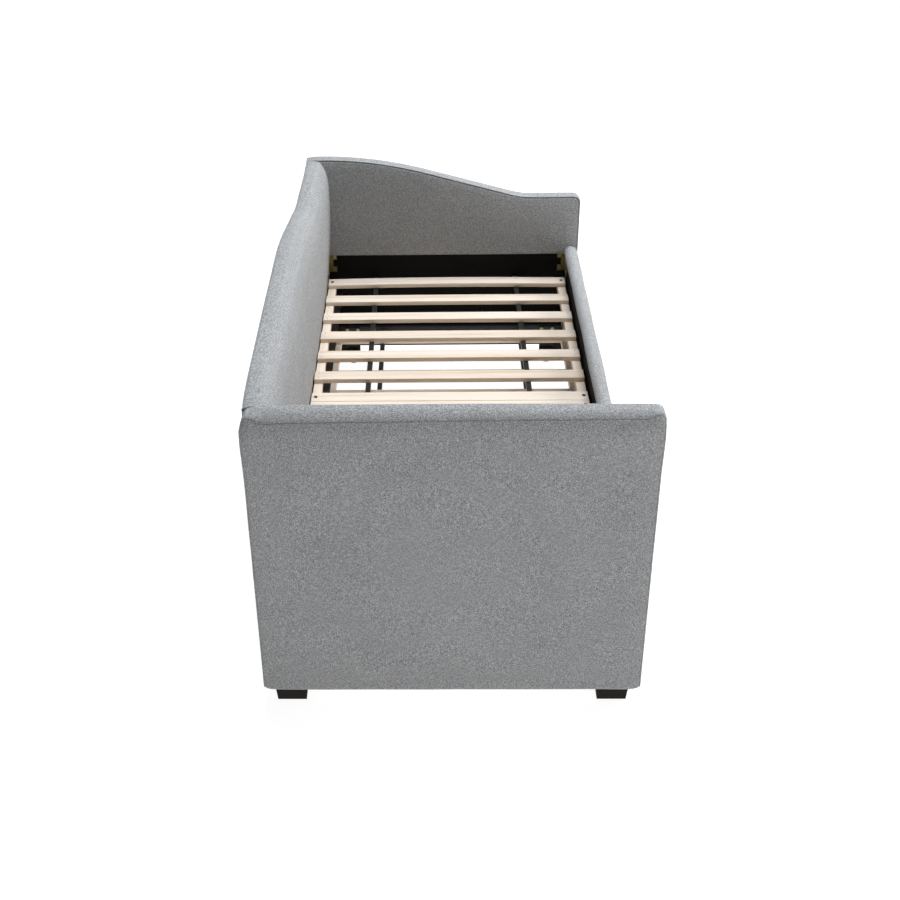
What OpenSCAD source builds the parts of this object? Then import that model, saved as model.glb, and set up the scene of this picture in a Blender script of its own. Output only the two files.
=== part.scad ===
// Upholstered daybed with a slatted deck and a pull-out trundle bed on four casters.
// Millimetres. +X runs from the tall head panel to the low foot panel, and the open front faces -Y.
// The origin is on the floor, at the centre of the footprint.

/* [Overall] */
// Overall length over both end panels
bed_length = 2074; // [2060:2:2140]
// Overall depth, back to front
bed_depth = 1073; // [1066:1:1110]
// Height of the head panel and of the back's high stretch
head_height = 986; // [940:1:1040]
// Height of the back's low stretch and of the foot panel's back corner
step_height = 884; // [850:1:900]
// Height of the foot panel's front corner
low_height = 722; // [690:1:760]
// Clear height under the panels
floor_gap = 59; // [50:1:70]

/* [Panels] */
// Thickness of the end panels, with their padding
end_t = 56; // [54:1:64]
// Padding over the cores' outer faces
pad_out = 16; // [12:1:18]
// Padding over the cores' edges
pad_edge = 16; // [12:1:20]
// Thickness of the plywood cores
core_t = 15; // [12:1:15]
// Thickness of the black linings
lining_t = 2; // [1:0.5:3]
// Height at which the end panels' inner padding stops
pad_stop = 476; // [470:1:490]
// Greatest thickness of the crowned back
back_crown_t = 91; // [80:1:105]

/* [Front rail] */
// Height of the front rail's top
rail_top = 512; // [500:1:530]
// Height of the front rail's underside
rail_bottom = 300; // [296:1:310]
// Thickness of the padded rails
rail_t = 45; // [40:1:48]
// Thickness of the boards inside the rails
board_t = 18; // [15:1:20]

/* [Deck] */
// Height of the deck's top
deck_top = 387; // [380:1:391]
// Length of a slat
slat_l = 951; // [940:1:955]
// Width of a slat
slat_w = 56; // [50:1:60]
// Thickness of a slat
slat_t = 17; // [12:1:18]
// Distance between slats in one module, centre to centre
slat_pitch = 148.2; // [140:0.1:151]
// Width of the wooden rails under the slats
deck_rail_w = 30; // [24:1:34]
// Width and height of the steel bars under the deck
bar_w = 18; // [14:1:20]
// Width of the front ledge's level flange
front_ledge_w = 36; // [34:1:44]
// Width of the back ledge's level flange
back_ledge_w = 60; // [44:1:64]

/* [Feet] */
// Width of a foot at its top
foot_top_w = 94; // [80:1:100]
// Width of a foot at its bottom
foot_bottom_w = 83; // [60:1:90]

/* [Trundle] */
// Height of the trundle deck's top
trundle_deck_top = 150; // [140:1:160]
// Height of the trundle front's underside
trundle_bottom = 45; // [40:1:55]
// Height of the trundle front's top
trundle_top = 292; // [280:1:294]
// Gap at each end of the trundle
trundle_gap = 8; // [6:1:12]
// Thickness of the trundle's end and back boards
trundle_board_t = 15; // [15:1:20]
// Radius of a caster wheel
wheel_r = 25; // [20:1:28]
// Width of a caster wheel
wheel_w = 20; // [16:1:22]

/* [Hidden] */
$fn = 48;
SLAT_COUNT = 14;
MODULE_SLATS = 7;
TRUNDLE_SLATS = 13;
SLAT_NODES = [for (i = [1:SLAT_COUNT]) str("slat_", i)];

FABRIC = [0.55, 0.56, 0.57];
LINING = [0.05, 0.05, 0.05];
STEEL = [0.10, 0.10, 0.11];
ZINC = [0.55, 0.47, 0.22];
PINE = [0.87, 0.79, 0.68];
PLY = [0.74, 0.62, 0.45];
LEG = [0.12, 0.08, 0.06];

half_l = bed_length / 2;
half_d = bed_depth / 2;
eps = 1;
sheet_t = 3;

// End panels, from the outside in
bay_x = half_l - end_t;
core_x = half_l - pad_out - core_t;
lining_x = core_x - lining_t;
end_base_h = 42;
corner_r = 12;
head_front_r = 30;
foot_front_r = 26;

// The back panel, from the outside in
back_setback = 2;
back_t = 62;
back_y = half_d - back_setback;
back_core_y = back_y - pad_out - core_t;
back_deck_y = back_y - back_t;
back_lining_y = back_deck_y + lining_t;
back_pad_bottom = 350;
stile_l = 60;
notch_clearance = 8;
notch_top = pad_stop + notch_clearance;

// The padded back's section: a rounded top edge, then a crowned inner face
back_edge_r = 30;
back_edge_y = back_y - back_edge_r + 2;
crown_top = head_height - 70;
crown_bottom = 392;
crown_skew = 0.75;
crown_arc = 125;

// The front rail and the trundle front, from the outside in
front_setback = 9.5;
front_pad = 13;
front_y = -half_d + front_setback;
board_y = front_y + front_pad;
board_in_y = board_y + board_t;
front_lining_y = board_in_y + lining_t;
roll_h = 36;
board_cover = 14;

// The S-curve: a parabola up to the bend, then a straight fall to a softened kink
sweep_bend = 0.51;
sweep_k = 1 / (pow(sweep_bend, 2) + 2 * sweep_bend * (1 - sweep_bend));
sweep_steps = 14;
kink_l = 28;
kink_steps = 5;
foot_sweep_y = [half_d - 0.06 * bed_depth, half_d - 0.784 * bed_depth];
back_sweep_x = [-192, 510];

// The feet
leg_top_t = 36;
leg_bottom_t = 30;
leg_inset = 30;
leg_x = bay_x + leg_top_t / 2;
leg_y = half_d - leg_inset - foot_top_w / 2;
leg_bolt_l = 60;

// The slatted deck
deck_clearance = 5.5;
deck_y = back_deck_y - deck_clearance - slat_l / 2;
deck_rail_h = 25;
deck_z = deck_top - slat_t - deck_rail_h;
deck_end_y = [deck_y - (slat_l - deck_rail_w) / 2, deck_y + (slat_l - deck_rail_w) / 2];
module_gap = 2;
module_x = (slat_w + module_gap) / 2;
module_l = (MODULE_SLATS - 1) * slat_pitch + slat_w;
deck_bar_y = [276, -288];
bar_wall = 1.5;
nail_r = 1.6;
nail_l = 36;
nail_dx = 16;
nail_proud = 0.3;
bolt_r = 3;
bolt_head_r = 6;
bolt_head_h = 2;
bolt_inset = 3;

// The corner brackets
bracket_z = 392;
bracket_h = 82;
bracket_tab_h = 26;
bracket_leg = 35;
bracket_web = 20;
bracket_reach = 66;
bracket_bolt_y = 26;
bracket_bolt_dx = 25;
bracket_bolt_x = bay_x - bracket_bolt_dx;
screw_r = 4;
screw_head_r = 7;
screw_l = 12;
ledge_screw_x = [-900:300:900];
ledge_screw_drop = 27;

// The trundle
trundle_x = bay_x - trundle_gap;
trundle_in_x = trundle_x - trundle_board_t;
trundle_back_y = 469;
trundle_back_in_y = trundle_back_y - trundle_board_t;
trundle_board_z = 98;
trundle_board_h = 62;
trundle_deck_gap = [1, 3];
trundle_deck_y = [board_in_y + trundle_deck_gap[0], trundle_back_in_y - trundle_deck_gap[1]];
trundle_deck_z = trundle_deck_top - slat_t - deck_rail_h;
trundle_rail_w = [18, 27];
trundle_slat_x = 885;
trundle_bar_y = [255, -311];
trundle_pad_z = 162;
trundle_ledge_w = [18, 28];
trundle_ledge_drop = [24, 9];
trundle_ledge_end = 5;
trundle_screw_x = [-840:280:840];
front_screw_drop = 14;
back_screw_drop = 6;
small_screw_r = 1.5;
small_screw_head_r = 2.4;

// The casters
caster_y = [382, -424];
caster_inset = 15;
caster_x = trundle_in_x - caster_inset;
cheek_t = 3;
cheek_w = 60;
cheek_drop = 11;
bridge_h = 10;
tyre_clearance = 4;
cheek_top = trundle_board_z + trundle_board_h - tyre_clearance - wheel_r;
caster_screw_dy = 22;
caster_screw_drop = 13;
caster_screw_z = trundle_board_z + trundle_board_h - caster_screw_drop;
axle_r = 5;
axle_head_r = 8;
axle_clearance = 0.05;
tyre_r = 4;
hub_t = 4;
rim_t = 7;
hub_r = axle_r + hub_t;
rim_r = wheel_r - rim_t;
web_inset = 4;
web_slope = 1;

// Points of an arc about c, from angle a0 to a1
function arc(c, r, a0, a1, n = 6) =
    [for (i = [0:n]) c + r * [cos(a0 + (a1 - a0) * i / n), sin(a0 + (a1 - a0) * i / n)]];

// Share of the S-curve's drop at share t of its run
function fall(t) =
    t < sweep_bend
    ? sweep_k * t * t
    : sweep_k * pow(sweep_bend, 2) + 2 * sweep_k * sweep_bend * (t - sweep_bend);

// A point on the S-curve from p0 down to p1, at share t of its run
function on_sweep(p0, p1, t) = [p0[0] + (p1[0] - p0[0]) * t, p0[1] + (p1[1] - p0[1]) * fall(t)];

// Points that soften the corner at p between the points a and b
function softened(a, p, b) =
    let (from = p + kink_l * (a - p) / norm(a - p), to = p + kink_l * (b - p) / norm(b - p))
        [for (i = [0:kink_steps])
            let (t = i / kink_steps) (1 - t) * (1 - t) * from + 2 * t * (1 - t) * p + t * t * to];

// Points along an S-curve from p0 to p1, which runs on level
function sweep(p0, p1) = concat(
    [for (i = [0:sweep_steps]) on_sweep(p0, p1, sweep_bend * i / sweep_steps)],
    softened(on_sweep(p0, p1, sweep_bend), p1, [2 * p1[0] - p0[0], p1[1]])
);

// An end panel's outline in Y and Z, inset by g, with the front corner's radius r
function end_outline(g, front_top, back_top, r) = concat(
    [[-half_d + g, floor_gap], [half_d - g, floor_gap]],
    arc([half_d - g - corner_r, back_top - g - corner_r], corner_r, 0, 90),
    front_top < back_top
        ? sweep([foot_sweep_y[0], back_top - g], [foot_sweep_y[1], front_top - g])
        : [],
    arc([-half_d + g + r, front_top - g - r], r, 90, 180)
);

// Extrudes a Y-Z outline along X, from x0 for a length l
module along_x(x0, l) {
    translate([x0, 0, 0])
        rotate([90, 0, 90])
            linear_extrude(height = l)
                children();
}

// Extrudes an X-Z outline along Y, from y0 for a length l
module along_y(y0, l) {
    translate([0, y0 + l, 0])
        rotate([90, 0, 0])
            linear_extrude(height = l)
                children();
}

// A box from its lowest to its highest corner
module block(low, high) {
    translate(low)
        cube(high - low);
}

// Puts a part made for the foot end at the foot end (s = 1) or the head end (s = -1)
module at_end(s) {
    mirror([s < 0 ? 1 : 0, 0, 0])
        children();
}

// ---- End panels ----

// The core of an end panel: a plywood sheet and a thick base rail that the feet bolt to
module end_core_solid(front_top, back_top, r) {
    along_x(core_x, core_t)
        polygon(end_outline(pad_edge, front_top, back_top, r));
    block(
        [bay_x + lining_t, -half_d + pad_edge, floor_gap],
        [core_x + eps, half_d - pad_edge, floor_gap + end_base_h]
    );
}

module end_core(s, front_top, back_top, r) {
    color(PLY)
        difference() {
            at_end(s)
                end_core_solid(front_top, back_top, r);
            frame_bolt_set();
        }
}

// The padded cover of an end panel, open below and over the lining
module end_cover(s, front_top, back_top, r) {
    color(FABRIC)
        at_end(s)
            difference() {
                along_x(bay_x, end_t)
                    polygon(end_outline(0, front_top, back_top, r));
                end_core_solid(front_top, back_top, r);
                block(
                    [bay_x - eps, front_lining_y, floor_gap - eps],
                    [core_x, back_deck_y, pad_stop]
                );
            }
}

// The lining of an end panel: down the sheet, over the base rail and down its face
module end_lining(s) {
    color(LINING)
        difference() {
            at_end(s)
                along_y(front_lining_y, back_deck_y - front_lining_y)
                    polygon([
                        [bay_x, floor_gap],
                        [bay_x + lining_t, floor_gap],
                        [bay_x + lining_t, floor_gap + end_base_h],
                        [core_x, floor_gap + end_base_h],
                        [core_x, pad_stop],
                        [lining_x, pad_stop],
                        [lining_x, floor_gap + end_base_h + lining_t],
                        [bay_x, floor_gap + end_base_h + lining_t]
                    ]);
            frame_bolt_set();
        }
}

// ---- Back panel ----

// The back's outline in X and Z, inset from the top by g
function back_outline(g) = concat(
    [[bay_x, floor_gap], [-bay_x, floor_gap], [-bay_x, head_height - g]],
    sweep([back_sweep_x[0], head_height - g], [back_sweep_x[1], step_height - g]),
    [[bay_x, step_height - g]]
);

// The crowned inner face, from under the top's rounding (t = 0) down to the deck (t = 1)
function crown_z(t) = crown_top + (crown_bottom - crown_top) * t;
function crown_y(t) =
    back_deck_y - (back_crown_t - half_d + back_deck_y) * sin(crown_arc * pow(1 - t, crown_skew));

// The back's section in Y and Z: straight outside, rounded top, crowned inside
function back_section() = concat(
    [[back_y, floor_gap]],
    arc([back_y - corner_r, head_height - corner_r], corner_r, 0, 90),
    arc([back_edge_y, head_height - back_edge_r], back_edge_r, 90, 150),
    [for (t = [0:0.1:1]) [crown_y(t), crown_z(t)]],
    [[back_deck_y, back_pad_bottom], [back_core_y, back_pad_bottom], [back_core_y, floor_gap]]
);

module back_core_solid() {
    along_y(back_core_y, core_t)
        polygon(back_outline(pad_edge));
    block([-bay_x, back_lining_y, floor_gap], [bay_x, back_core_y + eps, back_pad_bottom]);
    for (s = [-1, 1])
        at_end(s)
            block([bay_x - stile_l, back_deck_y, back_pad_bottom], [bay_x, back_core_y + eps, notch_top]);
}

module back_core() {
    color(PLY)
        difference() {
            back_core_solid();
            frame_bolt_set();
        }
}

module back_cover() {
    color(FABRIC)
        difference() {
            intersection() {
                along_x(-bay_x, 2 * bay_x)
                    polygon(back_section());
                along_y(back_deck_y - back_crown_t, 2 * back_crown_t)
                    polygon(back_outline(0));
            }
            back_core_solid();
            for (s = [-1, 1])
                at_end(s)
                    block(
                        [bay_x - stile_l, back_deck_y - back_crown_t, back_pad_bottom - eps],
                        [bay_x + eps, back_core_y + eps, notch_top]
                    );
        }
}

module back_lining() {
    color(LINING)
        difference() {
            block([-bay_x, back_deck_y, floor_gap], [bay_x, back_lining_y, back_pad_bottom]);
            frame_bolt_set();
        }
}

// ---- Front rail and trundle front ----

// The section of a padded rail in Y and Z: the roll on top is thicker than the lined inner face
function rail_section(low, high, pad_z) = concat(
    [[front_y, low]],
    arc([front_y + rail_t / 2, high - rail_t / 2], rail_t / 2, 180, 0, 12),
    [[front_y + rail_t, pad_z], [board_in_y, pad_z], [board_in_y, low]]
);

module rail_board_solid(half_x, low, high) {
    block([-half_x, board_y, low], [half_x, board_in_y, high - board_cover]);
}

module rail_cover(half_x, low, high, pad_z) {
    color(FABRIC)
        difference() {
            along_x(-half_x, 2 * half_x)
                polygon(rail_section(low, high, pad_z));
            rail_board_solid(half_x + eps, low - eps, high);
        }
}

module front_cover() {
    rail_cover(bay_x, rail_bottom, rail_top, rail_top - roll_h);
}

module front_board() {
    color(PLY)
        difference() {
            rail_board_solid(bay_x, rail_bottom, rail_top);
            frame_bolt_set();
        }
}

module front_lining() {
    color(LINING)
        difference() {
            block([-bay_x, board_in_y, rail_bottom], [bay_x, front_lining_y, rail_top - roll_h]);
            frame_bolt_set();
        }
}

// ---- Ledges, brackets and bolts of the daybed ----

// A steel angle with its level flange at height z, its upright flange below, along y = face
module ledge_angle(face, inward, z, drop, half_x, w) {
    y_near = min(face, face + inward * w);
    y_up = min(face, face + inward * sheet_t);
    block([-half_x, y_near, z - sheet_t], [half_x, y_near + w, z]);
    block([-half_x, y_up, z - drop], [half_x, y_up + sheet_t, z]);
}

module front_ledge() {
    color(STEEL)
        difference() {
            ledge_angle(front_lining_y, 1, deck_z, deck_z - rail_bottom, bay_x, front_ledge_w);
            frame_bolt_set();
        }
}

module back_ledge() {
    color(STEEL)
        difference() {
            ledge_angle(back_deck_y, -1, deck_z, deck_z - rail_bottom, bay_x, back_ledge_w);
            frame_bolt_set();
        }
}

// Places children, made for the foot end's front corner with y = 0 on the face, at any corner
module at_corner(s, front) {
    at_end(s)
        translate([0, front ? front_lining_y : back_deck_y, 0])
            mirror([0, front ? 0 : 1, 0])
                children();
}

// A corner bracket: one upright flange on the rail, one with two wider tabs on the end panel
module corner_bracket(s, front) {
    color(ZINC)
        at_corner(s, front)
            difference() {
                union() {
                    block(
                        [lining_x - bracket_reach, 0, bracket_z],
                        [lining_x, sheet_t, bracket_z + bracket_h]
                    );
                    block(
                        [lining_x - sheet_t, 0, bracket_z],
                        [lining_x, bracket_web, bracket_z + bracket_h]
                    );
                    for (z = [bracket_z, bracket_z + bracket_h - bracket_tab_h])
                        block([lining_x - sheet_t, 0, z], [lining_x, bracket_leg, z + bracket_tab_h]);
                }
                bracket_bolt_set(screw_r);
            }
}

// A pan-head screw along +X, its head's underside at the origin
module screw(r, head_r, l) {
    rotate([0, 90, 0])
        cylinder(r = r, h = l);
    rotate([0, -90, 0])
        cylinder(r = head_r, h = sheet_t);
}

// The bolts of one bracket, two through the tabs and two through the flange
module bracket_bolt_set(r) {
    for (z = [bracket_z + bracket_tab_h / 2, bracket_z + bracket_h - bracket_tab_h / 2]) {
        translate([lining_x - sheet_t, bracket_bolt_y, z])
            screw(r, screw_head_r, screw_l + sheet_t);
        translate([bracket_bolt_x, sheet_t, z])
            rotate([0, 0, -90])
                screw(r, screw_head_r, screw_l + sheet_t);
    }
}

// The screws along the upright flange of one ledge
module ledge_screw_set() {
    for (x = ledge_screw_x)
        translate([x, sheet_t, deck_z - ledge_screw_drop])
            rotate([0, 0, -90])
                screw(screw_r, screw_head_r, screw_l + sheet_t);
}

// Every bolt and screw of the daybed's frame
module frame_bolt_set() {
    for (s = [-1, 1]) {
        for (front = [true, false])
            at_corner(s, front)
                bracket_bolt_set(screw_r);
        for (y = [leg_y, -leg_y])
            translate([s * leg_x, y, floor_gap - leg_bolt_l / 2])
                cylinder(r = screw_r, h = leg_bolt_l);
    }
    for (front = [true, false])
        at_corner(1, front)
            ledge_screw_set();
}

module frame_bolts() {
    color(ZINC)
        frame_bolt_set();
}

// ---- Feet ----

// A block that tapers towards the floor on all four sides
module leg(s, y) {
    color(LEG)
        difference() {
            translate([s * leg_x, y, 0])
                intersection() {
                    along_x(-leg_top_t / 2, leg_top_t)
                        taper(foot_top_w, foot_bottom_w);
                    along_y(-foot_top_w / 2, foot_top_w)
                        taper(leg_top_t, leg_bottom_t);
                }
            frame_bolt_set();
        }
}

module taper(top_w, bottom_w) {
    polygon([
        [-bottom_w / 2, 0],
        [bottom_w / 2, 0],
        [top_w / 2, floor_gap],
        [-top_w / 2, floor_gap]
    ]);
}

// ---- Slatted deck ----

// Centre of slat i, counted from 1 at the foot end
function slat_x(i) =
    i <= MODULE_SLATS
    ? module_x + (MODULE_SLATS - i) * slat_pitch
    : -module_x - (i - MODULE_SLATS - 1) * slat_pitch;

// The first and last slat of a module are bolted, the others are nailed
function is_bolted(i) = (i - 1) % MODULE_SLATS == 0 || i % MODULE_SLATS == 0;

// The bolts at the two ends of slat i
module bolt_pair(i) {
    for (y = deck_end_y)
        translate([slat_x(i), y, 0]) {
            translate([0, 0, deck_z + bolt_inset])
                cylinder(r = bolt_r, h = deck_top - deck_z - bolt_inset);
            translate([0, 0, deck_top])
                cylinder(r = bolt_head_r, h = bolt_head_h);
        }
}

// The nails at the two ends of slat i
module nail_group(i) {
    for (y = deck_end_y)
        for (dx = [-nail_dx, nail_dx])
            translate([slat_x(i) + dx, y, deck_top - nail_l])
                cylinder(r = nail_r, h = nail_l + nail_proud);
}

module deck_bolt_set() {
    for (i = [1:SLAT_COUNT])
        if (is_bolted(i))
            bolt_pair(i);
}

module nail_set() {
    for (i = [1:SLAT_COUNT])
        if (!is_bolted(i))
            nail_group(i);
}

module slat(i) {
    color(PINE)
        difference() {
            block(
                [slat_x(i) - slat_w / 2, deck_y - slat_l / 2, deck_top - slat_t],
                [slat_x(i) + slat_w / 2, deck_y + slat_l / 2, deck_top]
            );
            if (is_bolted(i))
                bolt_pair(i);
            else
                nail_group(i);
        }
}

module deck_rail(s, y) {
    x_near = s > 0 ? module_gap / 2 : -module_gap / 2 - module_l;
    color(PINE)
        difference() {
            block(
                [x_near, y - deck_rail_w / 2, deck_z],
                [x_near + module_l, y + deck_rail_w / 2, deck_z + deck_rail_h]
            );
            deck_bolt_set();
            nail_set();
        }
}

module deck_bolts() {
    color(STEEL)
        deck_bolt_set();
}

module slat_nails() {
    color(STEEL)
        nail_set();
}

// A square steel tube along X with its centre line at y, its top at z
module bar(y, z, half_x) {
    difference() {
        block([-half_x, y - bar_w / 2, z - bar_w], [half_x, y + bar_w / 2, z]);
        block(
            [-half_x - eps, y - bar_w / 2 + bar_wall, z - bar_w + bar_wall],
            [half_x + eps, y + bar_w / 2 - bar_wall, z - bar_wall]
        );
    }
}

module deck_bars() {
    color(STEEL)
        for (y = deck_bar_y)
            bar(y, deck_top - slat_t, lining_x);
}

// ---- Trundle ----

module trundle_cover() {
    rail_cover(trundle_x, trundle_bottom, trundle_top, trundle_pad_z);
}

module trundle_board() {
    color(PLY)
        difference() {
            rail_board_solid(trundle_x, trundle_bottom, trundle_top);
            trundle_screw_set();
        }
}

module trundle_end(s) {
    color(LINING)
        difference() {
            at_end(s)
                block(
                    [trundle_in_x, board_in_y, trundle_board_z],
                    [trundle_x, trundle_back_y, trundle_board_z + trundle_board_h]
                );
            trundle_screw_set();
        }
}

module trundle_back_board() {
    color(LINING)
        difference() {
            block(
                [-trundle_in_x, trundle_back_in_y, trundle_board_z],
                [trundle_in_x, trundle_back_y, trundle_board_z + trundle_board_h]
            );
            trundle_screw_set();
        }
}

module trundle_ledges() {
    color(STEEL)
        difference() {
            union() {
                ledge_angle(
                    board_in_y, 1, trundle_deck_z,
                    trundle_ledge_drop[0], trundle_in_x - trundle_ledge_end, trundle_ledge_w[0]
                );
                ledge_angle(
                    trundle_back_in_y, -1, trundle_deck_z,
                    trundle_ledge_drop[1], trundle_in_x - trundle_ledge_end, trundle_ledge_w[1]
                );
            }
            trundle_screw_set();
        }
}

function trundle_slat_at(i) = trundle_slat_x - (i - 1) * slat_pitch;

module trundle_rails() {
    far = trundle_slat_at(1) + slat_w / 2;
    near = trundle_slat_at(TRUNDLE_SLATS) - slat_w / 2;
    color(PINE) {
        block(
            [near, trundle_deck_y[0], trundle_deck_z],
            [far, trundle_deck_y[0] + trundle_rail_w[0], trundle_deck_z + deck_rail_h]
        );
        block(
            [near, trundle_deck_y[1] - trundle_rail_w[1], trundle_deck_z],
            [far, trundle_deck_y[1], trundle_deck_z + deck_rail_h]
        );
    }
}

module trundle_slats() {
    color(PINE)
        for (i = [1:TRUNDLE_SLATS])
            block(
                [trundle_slat_at(i) - slat_w / 2, trundle_deck_y[0], trundle_deck_top - slat_t],
                [trundle_slat_at(i) + slat_w / 2, trundle_deck_y[1], trundle_deck_top]
            );
}

module trundle_bars() {
    color(STEEL)
        for (y = trundle_bar_y)
            bar(y, trundle_deck_top - slat_t, trundle_in_x);
}

// Screws of the caster brackets and of the ledges' upright flanges
module trundle_screw_set() {
    for (s = [-1, 1])
        at_end(s)
            for (y = caster_y)
                for (dy = [-caster_screw_dy, caster_screw_dy])
                    translate([trundle_in_x - cheek_t, y + dy, caster_screw_z])
                        screw(screw_r, screw_head_r, cheek_t + screw_l);
    for (x = trundle_screw_x) {
        translate([x, board_in_y + sheet_t, trundle_deck_z - front_screw_drop])
            rotate([0, 0, -90])
                screw(screw_r, screw_head_r, screw_l + sheet_t);
        translate([x, trundle_back_in_y - sheet_t, trundle_deck_z - back_screw_drop])
            rotate([0, 0, 90])
                screw(small_screw_r, small_screw_head_r, screw_l + sheet_t);
    }
}

module trundle_screws() {
    color(ZINC)
        trundle_screw_set();
}

// ---- Casters ----

// Places children, made about the wheel's centre, at one caster; +X points out of the bed
module at_caster(s, y) {
    at_end(s)
        translate([caster_x, y, wheel_r])
            children();
}

// A pressed-steel bracket: a tall outer cheek, a bridge over the wheel, a short inner cheek
module caster_bracket() {
    gap = trundle_in_x - caster_x - cheek_t;
    bridge_z = wheel_r + bridge_h;
    difference() {
        union() {
            block([gap, -cheek_w / 2, -cheek_drop], [gap + cheek_t, cheek_w / 2, cheek_top]);
            block([-gap - cheek_t, -cheek_w / 2, bridge_z - cheek_t], [gap + eps, cheek_w / 2, bridge_z]);
            block([-gap - cheek_t, -cheek_w / 2, -cheek_drop], [-gap, cheek_w / 2, bridge_z]);
        }
        caster_axle();
    }
}

module caster_axle() {
    reach = trundle_in_x - caster_x;
    rotate([0, 90, 0])
        cylinder(r = axle_r, h = 2 * reach, center = true);
    for (s = [-1, 1])
        translate([s * (reach + sheet_t / 2), 0, 0])
            rotate([0, 90, 0])
                cylinder(r = axle_head_r, h = sheet_t, center = true);
}

// A wheel: hub bored for the axle, thin web and rounded tyre
module wheel(s, y) {
    half_w = wheel_w / 2;
    web_w = half_w - web_inset;
    color(LINING)
        at_caster(s, y)
            rotate([0, 90, 0])
                rotate_extrude($fn = 64)
                    polygon(concat(
                        [[axle_r + axle_clearance, -half_w], [hub_r, -half_w], [hub_r + web_slope, -web_w]],
                        [[rim_r - web_slope, -web_w], [rim_r, -half_w]],
                        arc([wheel_r - tyre_r, -half_w + tyre_r], tyre_r, -90, 0),
                        arc([wheel_r - tyre_r, half_w - tyre_r], tyre_r, 0, 90),
                        [[rim_r, half_w], [rim_r - web_slope, web_w]],
                        [[hub_r + web_slope, web_w], [hub_r, half_w], [axle_r + axle_clearance, half_w]]
                    ));
}

module caster_brackets() {
    color(STEEL)
        difference() {
            for (s = [-1, 1])
                for (y = caster_y)
                    at_caster(s, y)
                        caster_bracket();
            trundle_screw_set();
        }
}

module caster_axles() {
    color(ZINC)
        for (s = [-1, 1])
            for (y = caster_y)
                at_caster(s, y)
                    caster_axle();
}

end_cover(-1, head_height, head_height, head_front_r);  // head_cover
end_core(-1, head_height, head_height, head_front_r);  // head_core
end_lining(-1);  // head_lining
end_cover(1, low_height, step_height, foot_front_r);  // foot_cover
end_core(1, low_height, step_height, foot_front_r);  // foot_core
end_lining(1);  // foot_lining
back_cover();
back_core();
back_lining();
front_cover();
front_board();
front_lining();
back_ledge();
front_ledge();
corner_bracket(-1, false);  // bracket_head_back
corner_bracket(-1, true);  // bracket_head_front
corner_bracket(1, false);  // bracket_foot_back
corner_bracket(1, true);  // bracket_foot_front
frame_bolts();
leg(-1, leg_y);  // leg_head_back
leg(-1, -leg_y);  // leg_head_front
leg(1, leg_y);  // leg_foot_back
leg(1, -leg_y);  // leg_foot_front
deck_rail(-1, deck_end_y[1]);  // deck_rail_head_back
deck_rail(-1, deck_end_y[0]);  // deck_rail_head_front
deck_rail(1, deck_end_y[1]);  // deck_rail_foot_back
deck_rail(1, deck_end_y[0]);  // deck_rail_foot_front
for (i = [1:SLAT_COUNT])
    slat(i);
deck_bolts();
slat_nails();
deck_bars();
trundle_cover();
trundle_board();
trundle_end(-1);  // trundle_end_head
trundle_end(1);  // trundle_end_foot
trundle_back_board();
trundle_ledges();
trundle_rails();
trundle_slats();
trundle_bars();
trundle_screws();
caster_brackets();
caster_axles();
wheel(-1, caster_y[0]);  // wheel_head_back
wheel(-1, caster_y[1]);  // wheel_head_front
wheel(1, caster_y[0]);  // wheel_foot_back
wheel(1, caster_y[1]);  // wheel_foot_front
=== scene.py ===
import math
import bpy
import numpy as np
from mathutils import Matrix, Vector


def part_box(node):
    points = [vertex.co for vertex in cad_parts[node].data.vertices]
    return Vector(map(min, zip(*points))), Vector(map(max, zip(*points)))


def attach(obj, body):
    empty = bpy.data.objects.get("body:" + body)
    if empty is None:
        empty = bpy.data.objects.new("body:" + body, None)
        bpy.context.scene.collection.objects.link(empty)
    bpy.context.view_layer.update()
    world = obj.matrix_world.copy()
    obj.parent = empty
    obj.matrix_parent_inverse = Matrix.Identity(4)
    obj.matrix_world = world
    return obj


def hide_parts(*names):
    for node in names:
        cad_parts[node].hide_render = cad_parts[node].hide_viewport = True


# Looks of the upholstered daybed with its pull-out trundle. Metres, in the row frame:
# +X from the tall head panel to the foot panel, +Y to the back, the open front faces -Y.

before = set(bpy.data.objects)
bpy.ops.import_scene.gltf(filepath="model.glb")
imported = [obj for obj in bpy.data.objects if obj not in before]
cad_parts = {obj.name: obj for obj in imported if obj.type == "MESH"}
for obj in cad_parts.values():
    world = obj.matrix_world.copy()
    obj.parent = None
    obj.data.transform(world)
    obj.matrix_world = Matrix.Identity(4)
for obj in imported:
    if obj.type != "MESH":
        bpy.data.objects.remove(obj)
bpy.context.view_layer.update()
MM = 0.001
TINY = 1e-9

# ---------------------------------------------------------------------------
# Small helpers
# ---------------------------------------------------------------------------

# mesh lines on both sides of a sharp step, and how clear of it the even lines stay, in steps
BREAK_ROWS = (0.4 * MM, 2 * MM, 6 * MM)
BREAK_CLEAR = 0.6
SPLINE_STEPS = 24
PROFILE_POINTS = 600
PROFILE_DEPTH = 0.3
DISTANCE_BATCH = 200


def mesh_piece(name, points, faces, body, material, replaced):
    """A new smooth-shaded piece that rides on a body and stands for CAD nodes."""
    mesh = bpy.data.meshes.new(name)
    mesh.from_pydata([tuple(p) for p in points], [], [tuple(int(i) for i in f) for f in faces])
    mesh.validate()
    mesh.update()
    mesh.polygons.foreach_set("use_smooth", [True] * len(mesh.polygons))
    piece = bpy.data.objects.new(name, mesh)
    bpy.context.scene.collection.objects.link(piece)
    piece.data.materials.append(material)
    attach(piece, body)
    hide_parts(*replaced)
    return piece


def upholstered(name, points, faces, body, cover):
    """A padded piece in the melange fabric that stands for a CAD cover."""
    piece = mesh_piece(name, points, faces, body, FABRIC, [cover])


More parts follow.
